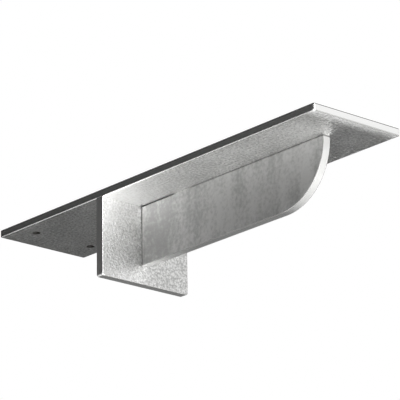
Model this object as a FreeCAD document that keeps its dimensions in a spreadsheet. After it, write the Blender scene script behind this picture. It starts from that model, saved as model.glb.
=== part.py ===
import FreeCAD, Part
import math
import os
from enum import IntEnum

import Sketcher
from FreeCAD import Placement, Rotation, Vector

# Low-profile support bracket for a counter or shelf, welded from three flat steel plates.
#
# The leg hangs down the room side of a wall. The top plate lies on the wall's top edge with its
# tail, and reaches out over the room with its arm. The web stands under the arm, in front of the
# leg, and ends in a rounded nose short of the arm's tip. Stitch welds lie in the corners on one
# side of the web only, so that the other side shows clean joints.
#
# Frame: millimetres. +Z is up, the arm runs towards -Y, the tail towards +Y, and X is across.
# The origin is the wall's top corner at mid-width, where the leg's rear face meets the underside
# of the top plate.

# Driving dimensions in millimetres and degrees, each with the words that go beside it.
DRIVING_SIZES = [
    ("plate_width", 88.9, "width of the top plate and of the leg"),
    ("arm_length", 254.0, "from the leg's rear face to the arm's tip"),
    ("tail_length", 127.0, "from the leg's rear face to the tail's end"),
    ("plate_thickness", 6.35, "top plate"),
    ("plate_corner_radius", 1.6, "four corners of the top plate"),
    ("plate_edge_break", 1.1, "rounding of the top plate's rims"),
    ("leg_height", 65.6, "leg below the top plate"),
    ("leg_thickness", 7.5, "leg"),
    ("leg_corner_radius", 2.2, "two lower corners of the leg"),
    ("web_height", 49.8, "web below the top plate"),
    ("web_thickness", 7.5, "web"),
    ("web_setback", 33.5, "from the arm's tip back to the web's nose"),
    ("nose_radius", 48.5, "rounded nose of the web"),
    ("nose_land", 1.0, "least straight edge left above the nose"),
    ("edge_break", 0.6, "rounding of the free edges of leg and web"),
    ("screw_hole_diameter", 6.35, "two screw holes in the tail"),
    ("screw_hole_spacing", 57.15, "between the hole centres, across the tail"),
    ("screw_hole_inset", 28.6, "from the tail's end to the hole centres"),
    ("countersink_diameter", 12.7, "on top, for flat screw heads"),
    ("countersink_angle", 82.0, "included angle of the countersink"),
    ("weld_leg", 4.5, "leg of each weld's triangle"),
    ("weld_crown", 0.4, "height of the weld's face above its chord"),
    ("weld_end_radius", 1.5, "rounding of each weld's ends"),
    ("web_weld_length", 32.0, "each stitch between web and top plate"),
    ("web_weld_margin", 8.0, "from the leg, and from the nose, to the nearest stitch"),
    ("leg_weld_length", 26.0, "stitch between leg and top plate"),
    ("post_weld_length", 26.0, "upright stitch between web and leg"),
]
WEB_WELD_COUNT = 3

# The nose can't be larger than the web's front edge, less the straight land above it.
NOSE_RADIUS = "min(Sizes.nose_radius; Sizes.web_height - Sizes.nose_land)"
# Distances from the leg's rear face to the far ends of the first and the last stitch of the web.
FIRST_WELD_END = "Sizes.leg_thickness + Sizes.web_weld_margin + Sizes.web_weld_length"
LAST_WELD_END = f"Sizes.arm_length - Sizes.web_setback - {NOSE_RADIUS} - Sizes.web_weld_margin"
# Radius of an arc over the weld's chord, which is the leg times the root of two.
WELD_FACE_RADIUS = "(Sizes.weld_leg ^ 2 / 2 + Sizes.weld_crown ^ 2) / (2 * Sizes.weld_crown)"

# A direction, or a place on a plane, counts as met within this much.
MATCH_TOLERANCE = 0.001

# A rectangle's side that lies on a sketch axis.
ON_AXIS = (0, None)


class Datum(IntEnum):
    """How a sketch numbers its own origin and axes."""

    ROOT = -1
    H_AXIS = -1
    V_AXIS = -2


class Spot(IntEnum):
    """How a sketch numbers the points of a curve."""

    START = 1
    END = 2
    CENTRE = 3


def make_sheet(document):
    """Write the driving dimensions into a spreadsheet, one named cell each."""
    sheet = document.addObject("Spreadsheet::Sheet", "Sizes")
    for row, (alias, value, meaning) in enumerate(DRIVING_SIZES, start=1):
        sheet.set(f"A{row}", meaning)
        sheet.set(f"B{row}", str(value))
        sheet.setAlias(f"B{row}", alias)
    document.recompute()


def make_body(document, name):
    """Start an empty body whose label names its file."""
    body = document.addObject("PartDesign::Body", name)
    body.Label = name
    body.Placement = Placement(Vector(0, 0, 0), Rotation())
    return body


def origin_plane(body, role):
    """Find one of the body's own origin planes by its role."""
    for feature in body.Origin.OriginFeatures:
        if feature.Role == role:
            return feature
    raise LookupError(f"{body.Label} has no {role}")


def attach_sketch(body, name, role):
    """Add a sketch to the body on one of its origin planes."""
    sketch = body.newObject("Sketcher::SketchObject", name)
    sketch.AttachmentSupport = [(origin_plane(body, role), "")]
    sketch.MapMode = "FlatFace"
    return sketch


def name_constraint(sketch, index, name, expression):
    """Name a sketch dimension and bind it to the sheet."""
    sketch.renameConstraint(index, name)
    sketch.setExpression(f"Constraints.{name}", expression)


def draw_rectangle(sketch, left, right, bottom, top):
    """Draw a rectangle from four sides, each a signed place and its distance's expression."""
    corners = [
        Vector(left[0], bottom[0], 0),
        Vector(right[0], bottom[0], 0),
        Vector(right[0], top[0], 0),
        Vector(left[0], top[0], 0),
    ]
    for line, corner in enumerate(corners):
        sketch.addGeometry(Part.LineSegment(corner, corners[(line + 1) % 4]), False)
    for line in range(4):
        sketch.addConstraint(Sketcher.Constraint("Coincident", line, Spot.END, (line + 1) % 4, Spot.START))
    for line, kind in enumerate(("Horizontal", "Vertical", "Horizontal", "Vertical")):
        sketch.addConstraint(Sketcher.Constraint(kind, line))
    place_side(sketch, "bottom_side", "DistanceY", 0, bottom)
    place_side(sketch, "right_side", "DistanceX", 1, right)
    place_side(sketch, "top_side", "DistanceY", 2, top)
    place_side(sketch, "left_side", "DistanceX", 3, left)


def place_side(sketch, name, kind, line, side):
    """Hold a line's start at a bound distance from the sketch's origin, or on its axis."""
    place, expression = side
    if place == 0:
        axis = Datum.V_AXIS if kind == "DistanceX" else Datum.H_AXIS
        sketch.addConstraint(Sketcher.Constraint("PointOnObject", line, Spot.START, axis))
        return
    hold_distance(sketch, name, kind, (line, Spot.START), place, expression)


def hold_distance(sketch, name, kind, point, place, expression):
    """Bind a point's distance from the sketch's origin, which a sketch counts as positive."""
    origin = (Datum.ROOT, Spot.START)
    ends = (*origin, *point) if place > 0 else (*point, *origin)
    index = sketch.addConstraint(Sketcher.Constraint(kind, *ends, abs(place)))
    name_constraint(sketch, index, name, expression)


def add_pad(body, sketch, name, expression, midplane=False, reverse=False):
    """Extrude the sketch by a bound length."""
    pad = body.newObject("PartDesign::Pad", name)
    pad.Profile = sketch
    pad.Midplane = midplane
    pad.Reversed = reverse
    pad.setExpression("Length", expression)
    body.Document.recompute()
    return pad


def add_fillet(body, base, name, edges, expression):
    """Round the named edges of the base feature by a bound radius."""
    fillet = body.newObject("PartDesign::Fillet", name)
    fillet.Base = (base, edges)
    fillet.setExpression("Radius", expression)
    body.Document.recompute()
    return fillet


def edges_along(feature, direction, keep=lambda centre: True):
    """Name the feature's straight edges that run along a direction and whose centre is kept."""
    names = []
    for number, edge in enumerate(feature.Shape.Edges, start=1):
        if not isinstance(edge.Curve, Part.Line):
            continue
        if abs(abs(edge.tangentAt(edge.FirstParameter).dot(direction)) - 1) > MATCH_TOLERANCE:
            continue
        if keep(edge.CenterOfMass):
            names.append(f"Edge{number}")
    return names


def rim_edges(feature, normal, keep=lambda centre: True):
    """Name the outer edges of the flat faces that look along plus or minus the normal."""
    names = []
    for face in feature.Shape.Faces:
        if not isinstance(face.Surface, Part.Plane):
            continue
        if abs(abs(face.normalAt(0, 0).dot(normal)) - 1) > MATCH_TOLERANCE:
            continue
        for rim in face.OuterWire.Edges:
            for number, edge in enumerate(feature.Shape.Edges, start=1):
                if edge.isSame(rim) and keep(edge.CenterOfMass):
                    names.append(f"Edge{number}")
    return names


def make_top_plate(document, size):
    """Flat bar with rounded corners, eased rims and two countersunk screw holes in its tail."""
    body = make_body(document, "top_plate")
    outline = attach_sketch(body, "plate_outline", "XY_Plane")
    half_width = size["plate_width"] / 2
    draw_rectangle(
        outline,
        left=(-half_width, "Sizes.plate_width / 2"),
        right=(half_width, "Sizes.plate_width / 2"),
        bottom=(-size["arm_length"], "Sizes.arm_length"),
        top=(size["tail_length"], "Sizes.tail_length"),
    )
    slab = add_pad(body, outline, "plate_slab", "Sizes.plate_thickness")
    corners = edges_along(slab, Vector(0, 0, 1))
    rounded = add_fillet(body, slab, "plate_corners", corners, "Sizes.plate_corner_radius")
    rims = rim_edges(rounded, Vector(0, 0, 1))
    eased = add_fillet(body, rounded, "plate_rims", rims, "Sizes.plate_edge_break")
    drill_screw_holes(body, eased, size)
    return body


def drill_screw_holes(body, base, size):
    """Drill the tail's two holes through the plate and countersink them from the top."""
    centres = attach_sketch(body, "screw_hole_centres", "XY_Plane")
    centres.setExpression("AttachmentOffset.Base.z", "Sizes.plate_thickness")
    radius = size["screw_hole_diameter"] / 2
    half_spacing = size["screw_hole_spacing"] / 2
    hole_y = size["tail_length"] - size["screw_hole_inset"]
    for circle, side in enumerate((-1, 1)):
        centre = Vector(side * half_spacing, hole_y, 0)
        centres.addGeometry(Part.Circle(centre, Vector(0, 0, 1), radius), False)
        point = (circle, Spot.CENTRE)
        across = "Sizes.screw_hole_spacing / 2"
        hold_distance(centres, f"across_{circle}", "DistanceX", point, centre.x, across)
        along = "Sizes.tail_length - Sizes.screw_hole_inset"
        hold_distance(centres, f"along_{circle}", "DistanceY", point, centre.y, along)
        bore = centres.addConstraint(Sketcher.Constraint("Radius", circle, radius))
        name_constraint(centres, bore, f"bore_{circle}", "Sizes.screw_hole_diameter / 2")
    body.Document.recompute()

    holes = body.newObject("PartDesign::Hole", "screw_holes")
    holes.Profile = centres
    body.Document.recompute()
    holes.Threaded = False
    holes.DepthType = "ThroughAll"
    holes.HoleCutType = "Countersink"
    holes.HoleCutCustomValues = True
    holes.setExpression("Diameter", "Sizes.screw_hole_diameter")
    holes.setExpression("HoleCutDiameter", "Sizes.countersink_diameter")
    holes.setExpression("HoleCutCountersinkAngle", "Sizes.countersink_angle")
    body.Document.recompute()
    two_bores = 2 * math.pi * radius**2 * size["plate_thickness"]
    if base.Shape.Volume - holes.Shape.Volume < two_bores:
        raise RuntimeError("the screw holes cut less than two bores")


def make_leg_plate(document, size):
    """Upright plate under the top plate, with its two lower corners rounded."""
    body = make_body(document, "leg_plate")
    outline = attach_sketch(body, "leg_outline", "XZ_Plane")
    half_width = size["plate_width"] / 2
    draw_rectangle(
        outline,
        left=(-half_width, "Sizes.plate_width / 2"),
        right=(half_width, "Sizes.plate_width / 2"),
        bottom=(-size["leg_height"], "Sizes.leg_height"),
        top=ON_AXIS,
    )
    slab = add_pad(body, outline, "leg_slab", "Sizes.leg_thickness")
    lower = edges_along(slab, Vector(0, 1, 0), is_below_plate)
    rounded = add_fillet(body, slab, "leg_corners", lower, "Sizes.leg_corner_radius")
    rims = rim_edges(rounded, Vector(0, 1, 0), is_below_plate)
    add_fillet(body, rounded, "leg_rims", rims, "Sizes.edge_break")
    return body


def is_below_plate(centre):
    """Tell whether an edge's centre lies below the top plate, so not in the joint with it."""
    return centre.z < -MATCH_TOLERANCE


def make_web(document, size):
    """Upright plate along the arm's middle, with a large rounded nose at its lower front corner."""
    body = make_body(document, "web")
    outline = attach_sketch(body, "web_outline", "YZ_Plane")
    leg_face = -size["leg_thickness"]
    draw_rectangle(
        outline,
        left=(size["web_setback"] - size["arm_length"], "Sizes.arm_length - Sizes.web_setback"),
        right=(leg_face, "Sizes.leg_thickness"),
        bottom=(-size["web_height"], "Sizes.web_height"),
        top=ON_AXIS,
    )

    def is_free(centre):
        return is_below_plate(centre) and centre.y < leg_face - MATCH_TOLERANCE

    slab = add_pad(body, outline, "web_slab", "Sizes.web_thickness", midplane=True)
    corner = edges_along(slab, Vector(1, 0, 0), is_free)
    nosed = add_fillet(body, slab, "web_nose", corner, NOSE_RADIUS)
    rims = rim_edges(nosed, Vector(1, 0, 0), is_free)
    add_fillet(body, nosed, "web_rims", rims, "Sizes.edge_break")
    return body


def make_weld(document, name, size, length):
    """Stitch weld: a triangle with a slightly raised face, drawn out, with rounded ends.

    Before it is placed, its root runs from the origin along +Y and its legs point to +X and -Z.
    """
    body = make_body(document, name)
    section = attach_sketch(body, f"{name}_section", "XZ_Plane")
    leg = size["weld_leg"]
    crown = size["weld_crown"]
    root = Vector(0, 0, 0)
    side_toe = Vector(leg, 0, 0)
    low_toe = Vector(0, -leg, 0)
    crest = (side_toe + low_toe) / 2 + Vector(crown, -crown, 0) / math.sqrt(2)
    section.addGeometry(Part.LineSegment(root, side_toe), False)
    section.addGeometry(Part.LineSegment(root, low_toe), False)
    section.addGeometry(Part.Arc(side_toe, crest, low_toe), False)
    section.addConstraint(Sketcher.Constraint("Coincident", 0, Spot.START, Datum.ROOT, Spot.START))
    section.addConstraint(Sketcher.Constraint("Coincident", 1, Spot.START, Datum.ROOT, Spot.START))
    section.addConstraint(Sketcher.Constraint("Horizontal", 0))
    section.addConstraint(Sketcher.Constraint("Vertical", 1))
    for line, toe in ((0, side_toe), (1, low_toe)):
        joined = min((Spot.START, Spot.END), key=lambda end: section.getPoint(2, end).distanceToPoint(toe))
        section.addConstraint(Sketcher.Constraint("Coincident", line, Spot.END, 2, joined))
    side = section.addConstraint(Sketcher.Constraint("Distance", 0, leg))
    name_constraint(section, side, "side_leg", "Sizes.weld_leg")
    low = section.addConstraint(Sketcher.Constraint("Distance", 1, leg))
    name_constraint(section, low, "low_leg", "Sizes.weld_leg")
    radius = section.Geometry[2].Radius
    face = section.addConstraint(Sketcher.Constraint("Radius", 2, radius))
    name_constraint(section, face, "face_radius", WELD_FACE_RADIUS)

    bead = add_pad(body, section, f"{name}_bead", length, reverse=True)
    ends = [
        f"Edge{number}"
        for number, edge in enumerate(bead.Shape.Edges, start=1)
        if isinstance(edge.Curve, Part.Circle)
    ]
    add_fillet(body, bead, f"{name}_ends", ends, "Sizes.weld_end_radius")
    return body


def place(body, rotation, **offsets):
    """Turn a body, and bind its place along x, y and z to the sheet."""
    body.Placement = Placement(Vector(0, 0, 0), rotation)
    for axis, expression in offsets.items():
        body.setExpression(f"Placement.Base.{axis}", expression)


def make_welds(document, size):
    """Stitches on the +X side of the web: along the arm, across the leg's top and up the leg."""
    web_side = "Sizes.web_thickness / 2"
    leg_face = "-Sizes.leg_thickness"
    welds = []
    for number in range(WEB_WELD_COUNT):
        share = number / (WEB_WELD_COUNT - 1)
        far_end = f"-(({FIRST_WELD_END}) * {1 - share} + ({LAST_WELD_END}) * {share})"
        weld = make_weld(document, f"web_weld_{number + 1}", size, "Sizes.web_weld_length")
        place(weld, Rotation(), x=web_side, y=far_end)
        welds.append(weld)

    # Midway between the web's side and the leg's edge.
    across = make_weld(document, "leg_weld", size, "Sizes.leg_weld_length")
    near_end = "(Sizes.plate_width + Sizes.web_thickness) / 4 - Sizes.leg_weld_length / 2"
    place(across, Rotation(Vector(0, 0, 1), -90), x=near_end, y=leg_face)
    # Midway down the web.
    upright = make_weld(document, "post_weld", size, "Sizes.post_weld_length")
    upper_end = "(Sizes.post_weld_length - Sizes.web_height) / 2"
    place(upright, Rotation(Vector(1, 0, 0), -90), x=web_side, y=leg_face, z=upper_end)
    return welds + [across, upright]


def check_document(document):
    """Stop if any object of the document failed to compute."""
    for thing in document.Objects:
        if {"Invalid", "Error"} & set(thing.State):
            raise RuntimeError(f"{thing.Label} failed: {thing.State}")


def export_body(body):
    """Write one sound solid to its own file."""
    shape = body.Shape
    if shape.isNull() or not shape.isValid() or len(shape.Solids) != 1:
        raise RuntimeError(f"{body.Label} is not one sound solid")
    shape.exportStep(f"parts/{body.Label}.step")
    print(f"{body.Label}: {shape.Volume / 1000:.2f} cm3")


def main():
    os.makedirs("parts", exist_ok=True)
    document = FreeCAD.newDocument("support_bracket")
    make_sheet(document)
    size = {alias: value for alias, value, _ in DRIVING_SIZES}
    bodies = [
        make_top_plate(document, size),
        make_leg_plate(document, size),
        make_web(document, size),
        *make_welds(document, size),
    ]
    document.recompute()
    check_document(document)
    for body in bodies:
        export_body(body)


main()
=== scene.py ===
"""Studio scene of a welded steel support bracket for a counter.

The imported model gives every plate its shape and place. This file dresses the plates in bare mill
steel, lays rippled weld beads where the plain ones are, and sets up a plain studio round them.
"""

import logging
import math
from collections.abc import Iterable
from dataclasses import dataclass, field
from enum import IntEnum

import bpy
from mathutils import Matrix, Vector


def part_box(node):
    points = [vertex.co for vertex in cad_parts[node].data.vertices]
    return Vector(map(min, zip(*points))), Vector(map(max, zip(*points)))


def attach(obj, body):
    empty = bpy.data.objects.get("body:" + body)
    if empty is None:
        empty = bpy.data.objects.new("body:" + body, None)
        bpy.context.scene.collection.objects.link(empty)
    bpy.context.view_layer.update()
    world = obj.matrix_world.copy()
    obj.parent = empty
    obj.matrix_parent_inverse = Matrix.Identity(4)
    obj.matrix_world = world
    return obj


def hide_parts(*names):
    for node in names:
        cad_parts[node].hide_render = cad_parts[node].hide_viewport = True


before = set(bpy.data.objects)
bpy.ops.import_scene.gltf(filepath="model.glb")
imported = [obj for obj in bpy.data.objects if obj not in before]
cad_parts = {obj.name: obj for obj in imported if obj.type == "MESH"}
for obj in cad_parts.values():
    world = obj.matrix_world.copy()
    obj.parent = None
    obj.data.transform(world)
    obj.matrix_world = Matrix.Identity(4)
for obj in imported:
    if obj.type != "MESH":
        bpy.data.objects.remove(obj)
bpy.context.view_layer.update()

BODY = "root"
MM = 0.001
MATH = "ShaderNodeMath"

# What can feed a socket: another socket, or a node by its first output in use.
Feed = bpy.types.Node | bpy.types.NodeSocket
Colour = tuple[float, float, float, float]

log = logging.getLogger("bracket")


def linear_colour(hex_colour: str) -> Colour:
    """Turn an sRGB hex colour into the linear one that a shader takes.

    Args:
        hex_colour: Six hex digits after a hash.

    Returns:
        Red, green, blue and a full alpha.
    """
    channels = []
    for start in (1, 3, 5):
        value = int(hex_colour[start : start + 2], 16) / 255
        channels.append(value / 12.92 if value <= 0.04045 else ((value + 0.055) / 1.055) ** 2.4)
    return (*channels, 1.0)


def add_node(
    tree: bpy.types.NodeTree,
    kind: str,
    inputs: dict[str | int, object] | None = None,
    **settings: object,
) -> bpy.types.Node:
    """Add a node with its settings, and give its sockets values or links.

    Args:
        tree: The node tree that gets the node.
        kind: The node's type name in Blender.
        inputs: For a socket's name or number, a value, or the socket or node that feeds it.
        settings: The node's own properties.

    Returns:
        The new node.
    """
    node = tree.nodes.new(kind)
    for name, value in settings.items():
        setattr(node, name, value)
    for key, value in (inputs or {}).items():
        if isinstance(value, bpy.types.Node):
            value = next(output for output in value.outputs if output.enabled)
        if isinstance(value, bpy.types.NodeSocket):
            tree.links.new(value, node.inputs[key])
        else:
            node.inputs[key].default_value = value
    return node


def empty_material(name: str) -> bpy.types.Material:
    """Start a material with an empty node tree."""
    material = bpy.data.materials.new(name)
    material.use_nodes = True
    material.node_tree.nodes.clear()
    return material


def dress(thing: bpy.types.Object, material: bpy.types.Material) -> None:
    """Put one material in every slot of an object, and in a first slot if it has none."""
    if not thing.material_slots:
        thing.data.materials.append(material)
    for slot in thing.material_slots:
        slot.material = material


class Axis(IntEnum):
    """The frame's axes, by their place in a coordinate."""

    X = 0
    Y = 1
    Z = 2


class MixInput(IntEnum):
    """The inputs of a Mix node by number, because their names repeat."""

    FIRST_NUMBER = 2
    SECOND_NUMBER = 3
    FIRST_COLOUR = 6
    SECOND_COLOUR = 7


def lay_coats(
    tree: bpy.types.NodeTree, base: Feed | Colour, coats: Iterable[tuple[Feed, Feed | Colour]]
) -> Feed | Colour:
    """Lay coats of colour over a base.

    Args:
        tree: The material's node tree.
        base: The lowest colour.
        coats: From the lowest up, how much of each coat shows, and its colour.

    Returns:
        The colour that shows in the end.
    """
    for share, colour in coats:
        base = add_node(
            tree,
            "ShaderNodeMix",
            {"Factor": share, MixInput.FIRST_COLOUR: base, MixInput.SECOND_COLOUR: colour},
            data_type="RGBA",
        )
    return base


def weighted_sum(tree: bpy.types.NodeTree, parts: Iterable[tuple[Feed, float]]) -> Feed:
    """Add up patterns by their weights.

    Args:
        tree: The material's node tree.
        parts: Each pattern with its weight.

    Returns:
        The weighted sum.
    """
    total: Feed | float = 0.0
    for pattern, weight in parts:
        total = add_node(tree, MATH, {0: pattern, 1: weight, 2: total}, operation="MULTIPLY_ADD")
    return total


@dataclass(frozen=True)
class Spot:
    """The spot of a plate that a material's nodes work out.

    Along is its place on each axis, in metres, and facing is how squarely it faces along each axis,
    from -1 to 1.
    """

    tree: bpy.types.NodeTree
    place: Feed
    normal: Feed
    along: bpy.types.bpy_prop_collection
    facing: bpy.types.bpy_prop_collection


@dataclass(frozen=True)
class Joint:
    """A straight butt joint, which meets a plate on one plane across an axis.

    Oil and dirt fill it unevenly. Each stretch is a place along the other axis, and how dark the
    joint's line is there, from 0 to 1.
    """

    across: Axis
    place_mm: float
    along: Axis
    stretches: tuple[tuple[float, float], ...]
    width_mm: float = 1.1
    hex_colour: str = "#141414"

    def share(self, spot: Spot) -> Feed:
        """Tell how much of the joint's dark line shows.

        Args:
            spot: The spot of the plate.

        Returns:
            A mask from 0 to 1.
        """
        tree = spot.tree
        off = add_node(
            tree, MATH, {0: spot.along[self.across], 1: self.place_mm * MM}, operation="SUBTRACT"
        )
        line = add_node(
            tree,
            "ShaderNodeMapRange",
            {
                "Value": add_node(tree, MATH, {0: off}, operation="ABSOLUTE"),
                "From Min": 0.5 * self.width_mm * MM,
                "From Max": self.width_mm * MM,
                "To Min": 1.0,
                "To Max": 0.0,
            },
        )
        first, last = self.stretches[0][0], self.stretches[-1][0]
        run = add_node(
            tree,
            "ShaderNodeMapRange",
            {"Value": spot.along[self.along], "From Min": first * MM, "From Max": last * MM},
        )
        fill = add_node(tree, "ShaderNodeValToRGB", {"Fac": run})
        stops = fill.color_ramp.elements
        while len(stops) < len(self.stretches):
            stops.new(0.5)
        for stop, (place, darkness) in zip(stops, self.stretches):
            stop.position = (place - first) / (last - first)
            stop.color = (darkness, darkness, darkness, 1.0)
        return add_node(tree, MATH, {0: line, 1: fill}, operation="MULTIPLY")


@dataclass(frozen=True)
class Bore:
    """A drilled hole on the Z axis, whose wall is painted dark, as painted shade inside the hole.

    The painted shade fades out just outside the wall.
    """

    x_mm: float
    y_mm: float
    diameter_mm: float
    fade_from_mm: float = 0.1
    fade_to_mm: float = 0.4
    # Painted shade colour of the hole's wall.
    hex_colour: str = "#6B6966"

    def share(self, spot: Spot) -> Feed:
        """Tell how much of the painted shade on the wall shows.

        Args:
            spot: The spot of the plate.

        Returns:
            A mask from 0 to 1.
        """
        tree = spot.tree
        flat = add_node(
            tree,
            "ShaderNodeVectorMath",
            {0: spot.place, 1: (1.0, 1.0, 0.0)},
            operation="MULTIPLY",
        )
        axis = (self.x_mm * MM, self.y_mm * MM, 0.0)
        distance = add_node(tree, "ShaderNodeVectorMath", {0: flat, 1: axis}, operation="DISTANCE")
        wall = 0.5 * self.diameter_mm
        return add_node(
            tree,
            "ShaderNodeMapRange",
            {
                "Value": distance,
                "From Min": (wall + self.fade_to_mm) * MM,
                "From Max": (wall + self.fade_from_mm) * MM,
            },
        )


@dataclass(frozen=True)
class Band:
    """A band on a plate's front or underside, along a joint or an edge.

    The band's colour is painted light: a painted highlight where it is paler than the plate, and
    painted shade where it is darker. The steel there is also smoother. The band is strongest at its
    place and fades out over its reach, which is negative where it runs towards lower coordinates.
    Tint is how much of the band's painted colour shows, and smooth is how much of the plate's bump
    is gone.
    """

    across: Axis
    place_mm: float
    reach_mm: float
    tint: float
    smooth: float = 0.0
    start_mm: float = 1.0

    def share(self, spot: Spot, lower_face: Feed) -> Feed:
        """Tell how strong the band is.

        Args:
            spot: The spot of the plate.
            lower_face: Mask of the plate's front or underside.

        Returns:
            A mask, 1 at the band's place and 0 beyond its reach and on the other faces.
        """
        tree = spot.tree
        place = spot.along[self.across]
        fade = add_node(
            tree,
            "ShaderNodeMapRange",
            {
                "Value": place,
                "From Min": (self.place_mm + self.reach_mm) * MM,
                "From Max": self.place_mm * MM,
            },
            interpolation_type="SMOOTHSTEP",
        )
        start = math.copysign(self.start_mm, self.reach_mm)
        begun = add_node(
            tree,
            "ShaderNodeMapRange",
            {
                "Value": place,
                "From Min": (self.place_mm - start) * MM,
                "From Max": self.place_mm * MM,
            },
        )
        band = add_node(tree, MATH, {0: fade, 1: begun}, operation="MULTIPLY")
        return add_node(tree, MATH, {0: band, 1: lower_face}, operation="MULTIPLY")


@dataclass(frozen=True)
class WornEnd:
    """A plate's end whose underside falls away softly, where a flap disc took off the burr."""

    across: Axis
    place_mm: float
    width_mm: float
    lean: float

    def leaning(self, spot: Spot, normal: Feed, lower_face: Feed) -> Feed:
        """Lean the underside's normal over towards the end.

        Args:
            spot: The spot of the plate.
            normal: The normal so far.
            lower_face: Mask of the plate's underside.

        Returns:
            The normal, one long.
        """
        tree = spot.tree
        side = math.copysign(1.0, self.place_mm)
        share = add_node(
            tree,
            "ShaderNodeMapRange",
            {
                "Value": spot.along[self.across],
                "From Min": (self.place_mm - side * self.width_mm) * MM,
                "From Max": self.place_mm * MM,
                "To Max": self.lean,
            },
        )
        amount = add_node(tree, MATH, {0: share, 1: lower_face}, operation="MULTIPLY")
        direction = [0.0, 0.0, 0.0]
        direction[self.across] = side
        aside = add_node(
            tree, "ShaderNodeVectorMath", {0: direction, "Scale": amount}, operation="SCALE"
        )
        leaning = add_node(tree, "ShaderNodeVectorMath", {0: normal, 1: aside}, operation="ADD")
        return add_node(tree, "ShaderNodeVectorMath", {0: leaning}, operation="NORMALIZE")


@dataclass(frozen=True)
class Masks:
    """Where a plate's kinds of surface are, each from 0 to 1."""

    rolled: Feed
    lower_face: Feed
    rim: Feed
    upper_rim: Feed


@dataclass(frozen=True)
class Patterns:
    """A plate's random patterns, each from 0 to 1."""

    patches: Feed
    peel: Feed
    clouds: Feed
    streaks: Feed
    waves: Feed


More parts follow.
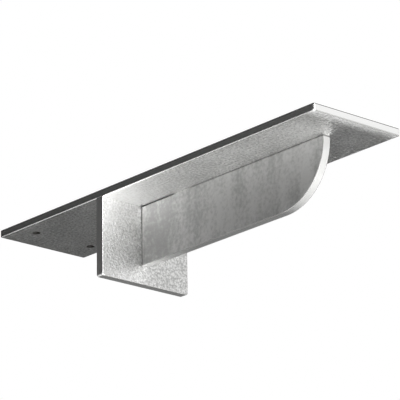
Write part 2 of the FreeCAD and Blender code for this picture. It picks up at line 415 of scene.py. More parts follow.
@dataclass(frozen=True)
class MillSteel:
    """Hot-rolled flat bar, pickled and left bare, with ground edges.

    Rolling and pickling leave a satin grey face with a mottle of small paler and darker patches,
    faint streaks along the bar, and an orange peel that breaks reflections into speckles. The cut
    edges are ground smooth, and their rounded rims are polished by handling. Rims can be painted
    darker, all round or only where they face up, as painted shade.

    Real peel is under a millimetre wide and a few hundredths deep, and doesn't show in a picture of
    the whole bracket. So the patches and the peel are drawn coarser and deeper than they are.
    """

    name: str
    faces: Axis
    pale_hex: str
    dark_hex: str
    edge_hex: str = "#E1E1E0"
    # Rim colours; a darker one here is painted shade.
    rim_hex: str = "#E1E1E0"
    upper_rim_hex: str = "#E1E1E0"
    # Colours of the painted light bands: paler ones are painted highlights, darker ones painted
    # shade.
    band_pale_hex: str = "#FFFFFF"
    band_dark_hex: str = "#DCDCDB"
    patch_mm: float = 3.2
    peel_mm: float = 2.2
    cloud_mm: float = 38.0
    wave_mm: float = 24.0
    streak_mm: float = 2.4
    streak_stretch: float = 14.0
    streaks_along: Axis = Axis.Y
    cloud_share: float = 0.18
    streak_share: float = 0.12
    tone_spread: float = 0.10
    peel_height_mm: float = 1.35
    wave_height_mm: float = 0.10
    grit_share: float = 0.5
    smoothest: float = 0.27
    roughest: float = 0.37
    gloss_spread: float = 0.14
    gloss_peel_share: float = 0.4
    cut_roughness: float = 0.40
    rim_roughness: float = 0.24
    joints: tuple[Joint, ...] = ()
    bores: tuple[Bore, ...] = ()
    bands: tuple[Band, ...] = ()
    worn_ends: tuple[WornEnd, ...] = ()

    def build(self) -> bpy.types.Material:
        """Build the finish as a material.

        Returns:
            A material with colour, roughness and bump from its nodes.
        """
        material = empty_material(self.name)
        tree = material.node_tree
        coordinates = add_node(tree, "ShaderNodeTexCoord").outputs
        place, normal = coordinates["Object"], coordinates["Normal"]
        along, facing = (
            add_node(tree, "ShaderNodeSeparateXYZ", {"Vector": vector}).outputs
            for vector in (place, normal)
        )
        spot = Spot(tree, place, normal, along, facing)
        masks = self.masks(spot)
        patterns = self.patterns(spot)
        band_shares = [band.share(spot, masks.lower_face) for band in self.bands]
        shader = add_node(
            tree,
            "ShaderNodeBsdfPrincipled",
            {
                "Base Color": self.colour(spot, masks, patterns, band_shares),
                "Metallic": 1.0,
                "Roughness": self.roughness(tree, masks, patterns),
                "Normal": self.bumps(spot, masks, patterns, band_shares),
            },
        )
        add_node(tree, "ShaderNodeOutputMaterial", {"Surface": shader})
        return material

    def masks(self, spot: Spot) -> Masks:
        """Tell the plate's kinds of surface apart by where they face.

        Args:
            spot: The spot of the plate.

        Returns:
            The masks.
        """
        tree = spot.tree
        facing = spot.facing[self.faces]
        squarely = add_node(tree, MATH, {0: facing}, operation="ABSOLUTE")
        # Each mask grows from 0 to 1 while the spot turns from the first number to the second.
        turns = (
            (squarely, 0.9, 0.99),
            (facing, -0.9, -0.99),
            (squarely, 0.05, 0.25),
            (squarely, 0.99, 0.94),
            (spot.facing[Axis.Z], 0.05, 0.25),
        )
        rolled, lower_face, off_edge, off_face, upward = (
            add_node(
                tree, "ShaderNodeMapRange", {"Value": turn, "From Min": start, "From Max": end}
            )
            for turn, start, end in turns
        )
        rim = add_node(tree, MATH, {0: off_edge, 1: off_face}, operation="MULTIPLY")
        # The rims that face up, which some plates paint dark as painted shade.
        upper_rim = add_node(tree, MATH, {0: rim, 1: upward}, operation="MULTIPLY")
        return Masks(rolled, lower_face, rim, upper_rim)

    def patterns(self, spot: Spot) -> Patterns:
        """Lay the random patterns over the plate.

        Args:
            spot: The spot of the plate.

        Returns:
            The patterns, the streaks among them drawn out along the bar.
        """
        scale = [1.0, 1.0, 1.0]
        scale[self.streaks_along] = 1 / self.streak_stretch
        drawn_out = add_node(spot.tree, "ShaderNodeMapping", {"Vector": spot.place, "Scale": scale})
        # In the order of the patterns: the size of the largest patches, the octaves of finer ones,
        # and how much each finer octave weighs.
        noises = (
            (spot.place, self.patch_mm, 4.0, 0.62),
            (spot.place, self.peel_mm, 3.0, 0.55),
            (spot.place, self.cloud_mm, 2.0, 0.5),
            (drawn_out, self.streak_mm, 2.0, 0.5),
            (spot.place, self.wave_mm, 1.0, 0.4),
        )
        patterns = (
            add_node(
                spot.tree,
                "ShaderNodeTexNoise",
                {
                    "Vector": place,
                    "Scale": 1 / (size_mm * MM),
                    "Detail": octaves,
                    "Roughness": weight,
                },
            )
            for place, size_mm, octaves, weight in noises
        )
        return Patterns(*patterns)

    def colour(
        self, spot: Spot, masks: Masks, patterns: Patterns, band_shares: list[Feed]
    ) -> Feed:
        """Work out the steel's colour.

        Args:
            spot: The spot of the plate.
            masks: The plate's kinds of surface.
            patterns: The plate's random patterns.
            band_shares: How strong each band is.

        Returns:
            The colour.
        """
        tree = spot.tree
        parts = (
            (patterns.patches, 1 - self.cloud_share - self.streak_share),
            (patterns.clouds, self.cloud_share),
            (patterns.streaks, self.streak_share),
        )
        tone = add_node(
            tree,
            "ShaderNodeMapRange",
            {
                "Value": weighted_sum(tree, parts),
                "From Min": 0.5 - self.tone_spread,
                "From Max": 0.5 + self.tone_spread,
            },
            interpolation_type="SMOOTHSTEP",
        )
        mill = lay_coats(
            tree, linear_colour(self.dark_hex), [(tone, linear_colour(self.pale_hex))]
        )
        # The painted light bands' own colour, mottled like the steel.
        band_steel = lay_coats(
            tree, linear_colour(self.band_dark_hex), [(tone, linear_colour(self.band_pale_hex))]
        )
        coats = [
            (masks.rolled, mill),
            # Rims may be painted darker, as painted shade.
            (masks.rim, linear_colour(self.rim_hex)),
            (masks.upper_rim, linear_colour(self.upper_rim_hex)),
        ]
        # Each band lays its painted highlight or painted shade over the steel.
        for band, share in zip(self.bands, band_shares):
            tint = add_node(tree, MATH, {0: share, 1: band.tint}, operation="MULTIPLY")
            coats.append((tint, band_steel))
        # Joints are dark lines, and the bores' walls carry painted shade.
        for mark in (*self.joints, *self.bores):
            coats.append((mark.share(spot), linear_colour(mark.hex_colour)))
        return lay_coats(tree, linear_colour(self.edge_hex), coats)

    def roughness(self, tree: bpy.types.NodeTree, masks: Masks, patterns: Patterns) -> Feed:
        """Work out the steel's roughness.

        Args:
            tree: The material's node tree.
            masks: The plate's kinds of surface.
            patterns: The plate's random patterns.

        Returns:
            The roughness.
        """
        parts = (
            (patterns.patches, 1 - self.gloss_peel_share),
            (patterns.peel, self.gloss_peel_share),
        )
        satin = add_node(
            tree,
            "ShaderNodeMapRange",
            {
                "Value": weighted_sum(tree, parts),
                "From Min": 0.5 - self.gloss_spread,
                "From Max": 0.5 + self.gloss_spread,
                "To Min": self.roughest,
                "To Max": self.smoothest,
            },
        )
        ground = add_node(
            tree,
            "ShaderNodeMix",
            {
                "Factor": masks.rolled,
                MixInput.FIRST_NUMBER: self.cut_roughness,
                MixInput.SECOND_NUMBER: satin,
            },
            data_type="FLOAT",
        )
        return add_node(
            tree,
            "ShaderNodeMix",
            {
                "Factor": masks.rim,
                MixInput.FIRST_NUMBER: ground,
                MixInput.SECOND_NUMBER: self.rim_roughness,
            },
            data_type="FLOAT",
        )

    def bumps(
        self, spot: Spot, masks: Masks, patterns: Patterns, band_shares: list[Feed]
    ) -> Feed:
        """Work out the bumpy normal.

        Args:
            spot: The spot of the plate.
            masks: The plate's kinds of surface.
            patterns: The plate's random patterns.
            band_shares: How strong each band is.

        Returns:
            The normal.
        """
        tree = spot.tree
        normal = spot.normal
        for end in self.worn_ends:
            normal = end.leaning(spot, normal, masks.lower_face)
        long_waves = add_node(
            tree,
            "ShaderNodeBump",
            {
                "Height": patterns.waves,
                "Distance": self.wave_height_mm * MM,
                "Normal": normal,
            },
        )
        strength = masks.rolled
        for band, share in zip(self.bands, band_shares):
            strength = add_node(
                tree,
                MATH,
                {0: share, 1: -band.smooth, 2: strength},
                operation="MULTIPLY_ADD",
                use_clamp=True,
            )
        parts = ((patterns.peel, 1 - self.grit_share), (patterns.patches, self.grit_share))
        return add_node(
            tree,
            "ShaderNodeBump",
            {
                "Strength": strength,
                "Height": weighted_sum(tree, parts),
                "Distance": self.peel_height_mm * MM,
                "Normal": long_waves,
            },
        )


@dataclass(frozen=True)
class WeldSteel:
    """Weld metal as it froze, wire brushed.

    The bead is duller than the plates, bluish grey to straw where the heat tinted it, and rougher
    where it is darker.
    """

    name: str = "brushed_weld_metal"
    pale_hex: str = "#B9B7B2"
    dark_hex: str = "#77777A"
    tint_hex: str = "#9C8F7C"
    grain_mm: float = 0.9
    tint_mm: float = 9.0
    tint_starts: float = 0.45
    tint_full: float = 0.75
    tint_share: float = 0.6
    smoothest: float = 0.30
    roughest: float = 0.5
    gloss_spread: float = 0.15
    grain_height_mm: float = 0.03

    def build(self) -> bpy.types.Material:
        """Build the finish as a material.

        Returns:
            A material with colour, roughness and bump from its nodes.
        """
        material = empty_material(self.name)
        tree = material.node_tree
        place = add_node(tree, "ShaderNodeTexCoord").outputs["Object"]
        grain = add_node(
            tree,
            "ShaderNodeTexNoise",
            {"Vector": place, "Scale": 1 / (self.grain_mm * MM), "Detail": 4.0, "Roughness": 0.6},
        )
        heat = add_node(
            tree,
            "ShaderNodeTexNoise",
            {"Vector": place, "Scale": 1 / (self.tint_mm * MM), "Detail": 1.0},
        )
        tinted = add_node(
            tree,
            "ShaderNodeMapRange",
            {
                "Value": heat,
                "From Min": self.tint_starts,
                "From Max": self.tint_full,
                "To Max": self.tint_share,
            },
        )
        coats = ((grain, linear_colour(self.pale_hex)), (tinted, linear_colour(self.tint_hex)))
        roughness = add_node(
            tree,
            "ShaderNodeMapRange",
            {
                "Value": grain,
                "From Min": 0.5 - self.gloss_spread,
                "From Max": 0.5 + self.gloss_spread,
                "To Min": self.roughest,
                "To Max": self.smoothest,
            },
        )
        bump = add_node(
            tree, "ShaderNodeBump", {"Height": grain, "Distance": self.grain_height_mm * MM}
        )
        shader = add_node(
            tree,
            "ShaderNodeBsdfPrincipled",
            {
                "Base Color": lay_coats(tree, linear_colour(self.dark_hex), coats),
                "Metallic": 1.0,
                "Roughness": roughness,
                "Normal": bump,
            },
        )
        add_node(tree, "ShaderNodeOutputMaterial", {"Surface": shader})
        return material


def outward(azimuth: float, elevation: float) -> Vector:
    """Point from the bracket in a direction.

    Args:
        azimuth: Degrees from the front of the arm's tip towards the bracket's right.
        elevation: Degrees above the horizon.

    Returns:
        The direction, one metre long.
    """
    turn = math.radians(azimuth)
    rise = math.radians(elevation)
    return Vector(
        (math.sin(turn) * math.cos(rise), -math.cos(turn) * math.cos(rise), math.sin(rise))
    )


@dataclass
class Camera:
    """The studio camera, which looks up at the bracket from its left front."""

    aim: Vector = field(default_factory=lambda: Vector((0.00334, -0.07097, -0.01010)))
    distance: float = 2.23077
    azimuth: float = -41.192
    elevation: float = -19.0595
    roll: float = -0.8686
    lens_mm: float = 254.376
    sensor_mm: float = 36.0

    def build(self) -> None:
        """Make the camera and make it the scene's own."""
        data = bpy.data.cameras.new("studio_camera")
        data.lens = self.lens_mm
        data.sensor_width = self.sensor_mm
        data.clip_start = 0.1
        data.clip_end = 200.0
        camera = bpy.data.objects.new("studio_camera", data)
        bpy.context.scene.collection.objects.link(camera)
        back = outward(self.azimuth, self.elevation)
        tilt = Matrix.Rotation(math.radians(self.roll), 3, "Z")
        turn = back.to_track_quat("Z", "Y").to_matrix() @ tilt
        camera.matrix_world = Matrix.Translation(self.aim + back * self.distance) @ turn.to_4x4()
        bpy.context.scene.camera = camera


@dataclass(frozen=True)
class Lamp:
    """A soft lamp on a stand, turned towards the bracket.

    Azimuth 0 is in front of the arm's tip and 90 on the bracket's right, and elevation is above the
    horizon, both in degrees. Sizes and distance are in metres, and power is in watts.
    """

    name: str
    azimuth: float
    elevation: float
    width: float
    height: float
    power: float
    distance: float = 1.9


@dataclass(frozen=True)
class Curtain:
    """Cloth that hangs in an arc round the bracket, in metres and degrees."""

    name: str
    first_azimuth: float
    last_azimuth: float
    low: float
    high: float
    radius: float = 1.35
    hex_colour: str = "#262626"


@dataclass
class Studio:
    """A plain room: white backdrop, pale floor well below the bracket, and soft light.

    Most lamps stand in front of the bracket or below it, one of them beside the lens, and two weak
    ones stand behind it on the left. Black cloth hangs behind the bracket and above it on the left,
    as it does for any shiny metal, so that its edges and underside show dark against the backdrop.
    The camera doesn't see the cloth or the lamps.
    """

    floor_drop: float = 3.5
    floor_half_width: float = 30.0
    room_light: float = 0.7
    centre: Vector = field(default_factory=lambda: Vector((0.0, -0.07, -0.02)))
    curtain_step: float = 5.0
    lamps: tuple[Lamp, ...] = (
        Lamp("front_low_lamp", 6.0, -48.0, 1.2, 1.0, 22.0),
        Lamp("front_lamp", 4.0, -20.0, 1.1, 0.8, 11.5),
        Lamp("front_high_lamp", -12.0, 26.0, 0.9, 0.8, 17.3),
        Lamp("lens_lamp", -41.0, -19.0, 0.8, 0.8, 16.4, distance=2.4),
        Lamp("left_low_lamp", -80.0, -48.0, 1.6, 1.1, 24.0),
        Lamp("left_lamp", -116.0, -4.0, 0.9, 0.9, 1.5),
        Lamp("under_lamp", 90.0, -75.0, 0.9, 0.9, 8.5),
        Lamp("back_low_lamp", -158.0, -40.0, 0.5, 0.5, 1.5, distance=1.2),
    )
    curtains: tuple[Curtain, ...] = (
        Curtain("back_curtain", 85.0, 245.0, -1.7, 1.7),
        Curtain("left_high_curtain", 245.0, 340.0, 0.1, 1.9),
    )

    def build(self) -> None:
        """Set up the backdrop, the floor, the lamps and the curtains."""
        self.build_backdrop()
        self.build_floor()
        for lamp in self.lamps:
            self.set_lamp(lamp)
        for curtain in self.curtains:
            self.hang_curtain(curtain)

    def build_backdrop(self) -> None:
        """Light the room evenly, and show white to the camera, metal and glass."""
        world = bpy.data.worlds.new("studio_backdrop")
        world.use_nodes = True
        tree = world.node_tree
        tree.nodes.clear()
        path = add_node(tree, "ShaderNodeLightPath").outputs
        direct = add_node(
            tree, MATH, {0: path["Is Camera Ray"], 1: path["Is Glossy Ray"]}, operation="ADD"
        )
        seen = add_node(
            tree,
            MATH,
            {0: direct, 1: path["Is Transmission Ray"]},
            operation="ADD",
            use_clamp=True,
        )
        white = (1, 1, 1, 1)
        room = add_node(
            tree, "ShaderNodeBackground", {"Color": white, "Strength": self.room_light}
        )
        backdrop = add_node(tree, "ShaderNodeBackground", {"Color": white, "Strength": 1.0})
        mixed = add_node(tree, "ShaderNodeMixShader", {0: seen, 1: room, 2: backdrop})
        add_node(tree, "ShaderNodeOutputWorld", {"Surface": mixed})
        bpy.context.scene.world = world

    def build_paint(self, name: str, hex_colour: str) -> bpy.types.Material:
        """Build a plain matt surface for the studio.

        Args:
            name: The material's name.
            hex_colour: Its colour.

        Returns:
            The material.
        """
        material = empty_material(name)
        tree = material.node_tree
        shader = add_node(
            tree,
            "ShaderNodeBsdfPrincipled",
            {
                "Base Color": linear_colour(hex_colour),
                "Roughness": 0.95,
                "Specular IOR Level": 0.1,
            },
        )
        add_node(tree, "ShaderNodeOutputMaterial", {"Surface": shader})
        return material

    def build_floor(self) -> None:
        """Lay the pale floor."""
        half = self.floor_half_width
        corners = [(-half, -half), (half, -half), (half, half), (-half, half)]
        mesh = bpy.data.meshes.new("studio_floor")
        mesh.from_pydata([(x, y, -self.floor_drop) for x, y in corners], [], [(0, 1, 2, 3)])
        floor = bpy.data.objects.new("studio_floor", mesh)
        bpy.context.scene.collection.objects.link(floor)
        dress(floor, self.build_paint("matt_white_floor_paint", "#F2F2F0"))

    def set_lamp(self, lamp: Lamp) -> None:
        """Set up one soft lamp that faces the bracket and that the camera doesn't see."""
        data = bpy.data.lights.new(lamp.name, "AREA")
        data.shape = "RECTANGLE"
        data.size = lamp.width
        data.size_y = lamp.height
        data.energy = lamp.power
        direction = outward(lamp.azimuth, lamp.elevation)
        turn = direction.to_track_quat("Z", "Y").to_matrix().to_4x4()
        stand = bpy.data.objects.new(lamp.name, data)
        stand.matrix_world = Matrix.Translation(self.centre + direction * lamp.distance) @ turn
        stand.visible_camera = False
        bpy.context.scene.collection.objects.link(stand)

    def hang_curtain(self, curtain: Curtain) -> None:
        """Hang one curtain that the camera doesn't see."""
        width = curtain.last_azimuth - curtain.first_azimuth
        folds = round(width / self.curtain_step)
        points = []
        for fold in range(folds + 1):
            azimuth = curtain.first_azimuth + fold / folds * width
            foot = self.centre + outward(azimuth, 0.0) * curtain.radius
            points.append((foot.x, foot.y, curtain.low))
            points.append((foot.x, foot.y, curtain.high))
        faces = [(2 * fold, 2 * fold + 2, 2 * fold + 3, 2 * fold + 1) for fold in range(folds)]
        mesh = bpy.data.meshes.new(curtain.name)
        mesh.from_pydata(points, [], faces)
        cloth = bpy.data.objects.new(curtain.name, mesh)
        cloth.visible_camera = False
        bpy.context.scene.collection.objects.link(cloth)
        dress(cloth, self.build_paint(f"{curtain.name}_cloth", curtain.hex_colour))


@dataclass
class Plates:
    """The three flat plates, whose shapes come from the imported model.

    The stretches say how dark each joint's line is at a place along it, in millimetres.
    """

    hole_distance_mm: float = 57.15
    hole_y_mm: float = 98.4
    hole_diameter_mm: float = 6.35
    web_top_stretches: tuple[tuple[float, float], ...] = (
        (-220.0, 0.6),
        (-70.0, 0.5),
        (-64.0, 0.0),
        (-50.0, 0.0),
        (-46.0, 0.9),
        (-7.0, 1.0),
    )
    web_end_stretches: tuple[tuple[float, float], ...] = ((-50.0, 0.35), (0.0, 0.9))
    leg_top_stretches: tuple[tuple[float, float], ...] = ((-45.0, 0.1), (45.0, 0.2))

    def build(self) -> None:
        """Dress each plate in its own steel."""
        finishes = {
            "top_plate": self.top_plate_steel(),
            "leg_plate": self.leg_steel(),
            "web": self.web_steel(),
        }
        for name, finish in finishes.items():
            dress(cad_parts[name], finish.build())
            log.info("%s: dressed in %s", name, finish.name)

    def top_plate_steel(self) -> MillSteel:
        """Choose the top plate's steel, with painted highlights by the leg and at its front end."""
        leg_y_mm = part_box("web")[1].y / MM
        front_end_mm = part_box("top_plate")[0].y / MM
        half = 0.5 * self.hole_distance_mm
        return MillSteel(
            "mill_steel_top_plate",
            Axis.Z,
            pale_hex="#F2F2F1",
            dark_hex="#B6B6B5",
            edge_hex="#EBEBEA",
            # Painted shade: the upper rims and the countersinks are painted dark.
            upper_rim_hex="#4C4C4B",
            # Painted highlight: the bands below are painted this pale.
            band_dark_hex="#F2F2F1",
            patch_mm=2.0,
            cut_roughness=0.34,
            # Painted shade on the walls of the two screw holes.
            bores=tuple(Bore(x, self.hole_y_mm, self.hole_diameter_mm) for x in (-half, half)),
            # Painted highlights: the underside is painted paler by the leg and along the front end.
            bands=(
                Band(Axis.Y, leg_y_mm, reach_mm=-95.0, tint=0.9, smooth=0.7),
                Band(Axis.Y, front_end_mm, reach_mm=14.0, tint=0.5, smooth=0.6),
            ),
            worn_ends=(WornEnd(Axis.Y, front_end_mm, width_mm=12.5, lean=0.5),),
        )

    def leg_steel(self) -> MillSteel:
        """Choose the leg's steel, with painted highlights below the top plate and on its left."""
        underside_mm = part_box("web")[1].z / MM
        left_edge_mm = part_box("leg_plate")[0].x / MM
        return MillSteel(
            "mill_steel_leg",
            Axis.Y,
            pale_hex="#DEDEDD",
            dark_hex="#A6A6A5",
            patch_mm=1.8,
            peel_mm=1.6,
            streaks_along=Axis.X,
            peel_height_mm=0.7,
            grit_share=0.4,
            joints=(Joint(Axis.Z, underside_mm, Axis.X, self.leg_top_stretches),),
            # Painted highlights: the front is painted paler below the top plate and towards the
            # left edge.
            bands=(
                Band(Axis.Z, underside_mm, reach_mm=-26.0, tint=0.4, smooth=0.6),
                Band(Axis.X, left_edge_mm, reach_mm=60.0, tint=0.95),
            ),
        )

    def web_steel(self) -> MillSteel:
        """Choose the web's steel, duller than the rest, with painted shade towards the leg."""
        underside_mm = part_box("web")[1].z / MM
        leg_y_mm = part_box("web")[1].y / MM
        return MillSteel(
            "mill_steel_web",
            Axis.X,
            pale_hex="#C8C8C7",
            dark_hex="#A5A5A4",
            # Painted shade: all of the web's rims are painted darker than its faces.
            rim_hex="#8E8E8D",
            upper_rim_hex="#8E8E8D",
            # Painted shade: the band towards the leg is painted in these darker colours.
            band_pale_hex="#7C7C7B",
            band_dark_hex="#6E6E6D",
            streak_mm=17.0,
            streak_stretch=5.0,
            streaks_along=Axis.Z,
            streak_share=0.42,
            peel_height_mm=0.2,
            smoothest=0.50,
            roughest=0.58,
            rim_roughness=0.60,
            joints=(
                Joint(Axis.Z, underside_mm, Axis.Y, self.web_top_stretches),
                Joint(Axis.Y, leg_y_mm, Axis.Z, self.web_end_stretches),
            ),
            # Painted shade: the left face is painted darker towards the leg.
            bands=(Band(Axis.Y, leg_y_mm, reach_mm=-60.0, tint=0.15),),
        )


@dataclass(frozen=True)
class WeldLine:
    """Which plain solid one stitch stands for, and how it lies there.

    The root runs along, and the bead's two feet reach out over the two plates that it joins. The
    three directions are square to each other and lie along the frame's axes.
    """

    node: str
    along: tuple[float, float, float]
    foot: tuple[float, float, float]
    other_foot: tuple[float, float, float]
    seed: int

    def length(self) -> float:
        """Measure the plain solid along its root."""
        low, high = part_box(self.node)
        return abs((high - low).dot(Vector(self.along)))

    def placement(self) -> Matrix:
        """Give the matrix that carries a bead from its own axes X, Y and Z to this line.

        Returns:
            The turn, and the corner of the solid's box that the three directions start from.
        """
        low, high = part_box(self.node)
        matrix = Matrix((self.foot, self.other_foot, self.along)).transposed().to_4x4()
        reach = Vector(self.along) + Vector(self.foot) + Vector(self.other_foot)
        matrix.translation = [low[axis] if reach[axis] > 0 else high[axis] for axis in range(3)]
        return matrix


@dataclass
class StitchWelds:
    """Five stitch welds in the corners on the web's right side, laid by hand with a MIG torch.

    Each bead is a row of overlapping ripples, one for each step of the torch, bowed towards the
    start of the bead and drawn in at both ends. Wander is how far the steps go astray, in ripples,
    and wander_per_metre is how often that changes.
    """

    foot_mm: float = 4.5
    crown_mm: float = 0.4
    ripple_mm: float = 1.7
    ripple_depth: float = 0.10
    ripple_bow_mm: float = 1.5
    end_mm: float = 2.6
    end_share: float = 0.25
    wander: float = 0.5
    wander_per_metre: float = 300.0
    steps_per_ripple: int = 9
    face_points: int = 13
    lines: tuple[WeldLine, ...] = (
        WeldLine("web_weld_1", along=(0, -1, 0), foot=(0, 0, -1), other_foot=(1, 0, 0), seed=11),
        WeldLine("web_weld_2", along=(0, -1, 0), foot=(0, 0, -1), other_foot=(1, 0, 0), seed=12),
        WeldLine("web_weld_3", along=(0, -1, 0), foot=(0, 0, -1), other_foot=(1, 0, 0), seed=13),
        WeldLine("leg_weld", along=(1, 0, 0), foot=(0, -1, 0), other_foot=(0, 0, -1), seed=14),
        WeldLine("post_weld", along=(0, 0, 1), foot=(0, -1, 0), other_foot=(1, 0, 0), seed=15),
    )

    def build(self) -> None:
        """Lay every bead over its plain solid and dress it."""
        finish = WeldSteel().build()
        tree = self.build_tree()
        for line in self.lines:
            bead = self.lay_bead(tree, line, finish)
            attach(bead, BODY)
            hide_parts(line.node)
            log.info("%s: %d faces", bead.name, len(bead.data.polygons))

    def sizes(self) -> dict[str, float]:
        """Give the sizes that all beads share, by the names of the node tree's inputs."""
        return {
            "Foot": self.foot_mm * MM,
            "Crown": self.crown_mm * MM,
            "Ripple": self.ripple_mm * MM,
            "Ripple Depth": self.ripple_depth,
            "Ripple Bow": self.ripple_bow_mm * MM,
            "End": self.end_mm * MM,
            "End Share": self.end_share,
            "Wander": self.wander,
        }

    def lay_bead(
        self, tree: bpy.types.NodeTree, line: WeldLine, finish: bpy.types.Material
    ) -> bpy.types.Object:
        """Make one bead as a plain mesh in its place.

        Args:
            tree: The geometry nodes that draw a bead.
            line: Where the bead lies.
            finish: The material of the weld metal.

        Returns:
            The bead's object, at the origin.
        """
        values = {"Length": line.length(), **self.sizes(), "Seed": line.seed, "Finish": finish}
        draft = bpy.data.objects.new("bead_draft", bpy.data.meshes.new("bead_draft"))
        bpy.context.scene.collection.objects.link(draft)
        modifier = draft.modifiers.new("bead", "NODES")
        modifier.node_group = tree
        for socket in tree.interface.items_tree:
            if socket.name in values and socket.in_out == "INPUT":
                modifier[socket.identifier] = values[socket.name]
        graph = bpy.context.evaluated_depsgraph_get()
        mesh = bpy.data.meshes.new_from_object(draft.evaluated_get(graph), depsgraph=graph)
        draft.modifiers.remove(modifier)
        bpy.data.objects.remove(draft)
        mesh.transform(line.placement())
        mesh.update()
        bead = bpy.data.objects.new(f"{line.node}_bead", mesh)
        bpy.context.scene.collection.objects.link(bead)
        return bead

    def build_tree(self) -> bpy.types.NodeTree:
        """Build the geometry nodes that draw one bead along +Z with its feet along +X and +Y.

        Returns:
            The node tree, with named inputs for the bead's sizes, its seed and its finish.
        """
        tree = bpy.data.node_groups.new("rippled_bead", "GeometryNodeTree")
        for name in ("Length", *self.sizes()):
            tree.interface.new_socket(name, in_out="INPUT", socket_type="NodeSocketFloat")
        tree.interface.new_socket("Seed", in_out="INPUT", socket_type="NodeSocketInt")
        tree.interface.new_socket("Finish", in_out="INPUT", socket_type="NodeSocketMaterial")
        tree.interface.new_socket("Bead", in_out="OUTPUT", socket_type="NodeSocketGeometry")
        given = add_node(tree, "NodeGroupInput").outputs
        body = add_node(
            tree,
            "GeometryNodeCurveToMesh",
            {
                "Curve": self.root_line(tree, given),
                "Profile Curve": self.section(tree, given),
                "Fill Caps": True,
            },
        )
        rippled = self.rippled(tree, given, body)
        smooth = add_node(tree, "GeometryNodeSetShadeSmooth", {"Geometry": rippled})
        real = add_node(tree, "GeometryNodeRealizeInstances", {"Geometry": smooth})
        dressed = add_node(
            tree, "GeometryNodeSetMaterial", {"Geometry": real, "Material": given["Finish"]}
        )
        add_node(tree, "NodeGroupOutput", {"Bead": dressed})
        return tree

    def root_line(self, tree: bpy.types.NodeTree, given: bpy.types.bpy_prop_collection) -> Feed:
        """Draw the bead's root with a radius that shrinks at both ends.

        Args:
            tree: The bead's node tree.
            given: The tree's inputs.

        Returns:
            The root as a curve.
        """
        far_end = add_node(tree, "ShaderNodeCombineXYZ", {"Z": given["Length"]})
        line = add_node(tree, "GeometryNodeCurvePrimitiveLine", {"End": far_end})
        step = add_node(
            tree, MATH, {0: given["Ripple"], 1: self.steps_per_ripple}, operation="DIVIDE"
        )
        fine = add_node(
            tree, "GeometryNodeResampleCurve", {"Curve": line, "Length": step}, mode="LENGTH"
        )
        gone = add_node(tree, "GeometryNodeSplineParameter").outputs["Length"]
        left = add_node(tree, MATH, {0: given["Length"], 1: gone}, operation="SUBTRACT")
        nearest = add_node(tree, MATH, {0: gone, 1: left}, operation="MINIMUM")
        inward = add_node(
            tree, MATH, {0: nearest, 1: given["End"]}, operation="DIVIDE", use_clamp=True
        )
        short = add_node(tree, MATH, {0: 1.0, 1: inward}, operation="SUBTRACT")
        square = add_node(tree, MATH, {0: short, 1: short}, operation="MULTIPLY")
        rest = add_node(tree, MATH, {0: 1.0, 1: square}, operation="SUBTRACT")
        round_end = add_node(tree, MATH, {0: rest}, operation="SQRT")
        radius = add_node(
            tree, "ShaderNodeMapRange", {"Value": round_end, "To Min": given["End Share"]}
        )
        return add_node(tree, "GeometryNodeSetCurveRadius", {"Curve": fine, "Radius": radius})

    def section(self, tree: bpy.types.NodeTree, given: bpy.types.bpy_prop_collection) -> Feed:
        """Draw the bead's section: a square corner with a slightly raised face across it.

        Args:
            tree: The bead's node tree.
            given: The tree's inputs.

        Returns:
            The section as a closed curve.
        """
        toe = add_node(tree, "ShaderNodeCombineXYZ", {"X": given["Foot"]})
        other_toe = add_node(tree, "ShaderNodeCombineXYZ", {"Y": given["Foot"]})
        half = add_node(tree, MATH, {0: given["Foot"], 1: 0.5}, operation="MULTIPLY")
        crest = add_node(
            tree, MATH, {0: given["Crown"], 1: math.sqrt(0.5), 2: half}, operation="MULTIPLY_ADD"
        )
        face = add_node(
            tree,
            "GeometryNodeCurveArc",
            {
                "Resolution": self.face_points,
                "Start": toe,
                "Middle": add_node(tree, "ShaderNodeCombineXYZ", {"X": crest, "Y": crest}),
                "End": other_toe,
                "Connect Center": True,
            },
            mode="POINTS",
        )
        # The corner comes after the face's points. Inputs 2 and 3 compare whole numbers.
        number = add_node(tree, "GeometryNodeInputIndex")
        is_centre = add_node(
            tree,
            "FunctionNodeCompare",
            {2: number, 3: self.face_points},
            data_type="INT",
            operation="EQUAL",
        )
        return add_node(
            tree,
            "GeometryNodeSetPosition",
            {
                "Geometry": face,
                "Selection": is_centre,
                "Position": add_node(tree, "ShaderNodeCombineXYZ"),
            },
        )

    def rippled(
        self, tree: bpy.types.NodeTree, given: bpy.types.bpy_prop_collection, body: Feed
    ) -> Feed:
        """Press the ripples into the bead's face, towards its root.

        Args:
            tree: The bead's node tree.
            given: The tree's inputs.
            body: The plain bead.

        Returns:
            The bead with its ripples.
        """
        here = add_node(tree, "GeometryNodeInputPosition")
        x, y, z = add_node(tree, "ShaderNodeSeparateXYZ", {"Vector": here}).outputs
        both = add_node(tree, MATH, {0: x, 1: y}, operation="ADD")
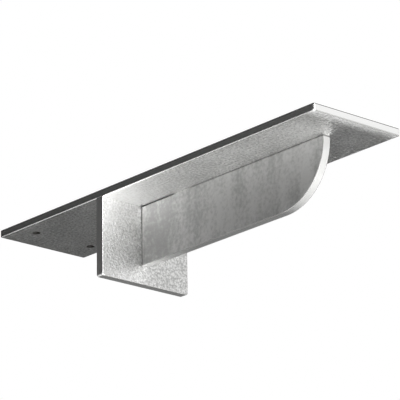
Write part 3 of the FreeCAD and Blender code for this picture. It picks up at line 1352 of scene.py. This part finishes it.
        # The lower limit keeps the division away from nought on the root.
        reach = add_node(tree, MATH, {0: both, 1: 1e-6}, operation="MAXIMUM")
        aside = add_node(tree, MATH, {0: x, 1: y}, operation="SUBTRACT")
        across = add_node(tree, MATH, {0: aside, 1: reach}, operation="DIVIDE")
        square = add_node(tree, MATH, {0: across, 1: across}, operation="MULTIPLY")
        bow = add_node(tree, MATH, {0: square, 1: given["Ripple Bow"]}, operation="MULTIPLY")
        place = add_node(
            tree,
            MATH,
            {0: z, 1: self.wander_per_metre, 2: given["Seed"]},
            operation="MULTIPLY_ADD",
        )
        uneven = add_node(
            tree,
            "ShaderNodeTexNoise",
            {"W": place, "Scale": 1.0, "Detail": 0.0},
            noise_dimensions="1D",
        )
        bowed = add_node(tree, MATH, {0: z, 1: bow}, operation="ADD")
        turns = add_node(tree, MATH, {0: bowed, 1: given["Ripple"]}, operation="DIVIDE")
        phase = add_node(
            tree, MATH, {0: uneven, 1: given["Wander"], 2: turns}, operation="MULTIPLY_ADD"
        )
        angle = add_node(tree, MATH, {0: phase, 1: math.pi}, operation="MULTIPLY")
        swing = add_node(tree, MATH, {0: angle}, operation="SINE")
        wave = add_node(tree, MATH, {0: swing}, operation="ABSOLUTE")
        valley = add_node(tree, MATH, {0: 1.0, 1: wave}, operation="SUBTRACT")
        pressed = add_node(tree, MATH, {0: valley, 1: given["Ripple Depth"]}, operation="MULTIPLY")
        thinner = add_node(
            tree,
            MATH,
            {0: uneven, 1: given["Ripple Depth"], 2: pressed},
            operation="MULTIPLY_ADD",
        )
        share = add_node(tree, MATH, {0: 1.0, 1: thinner}, operation="SUBTRACT")
        moved = add_node(
            tree,
            "ShaderNodeCombineXYZ",
            {
                "X": add_node(tree, MATH, {0: x, 1: share}, operation="MULTIPLY"),
                "Y": add_node(tree, MATH, {0: y, 1: share}, operation="MULTIPLY"),
                "Z": z,
            },
        )
        return add_node(tree, "GeometryNodeSetPosition", {"Geometry": body, "Position": moved})


def main() -> None:
    """Build the camera, the studio and the bracket's finishes and welds in order."""
    logging.basicConfig(level=logging.INFO, format="%(name)s: %(message)s")
    bpy.context.scene.view_settings.view_transform = "Standard"
    Camera().build()
    Studio().build()
    Plates().build()
    StitchWelds().build()


if __name__ == "__main__":
    main()
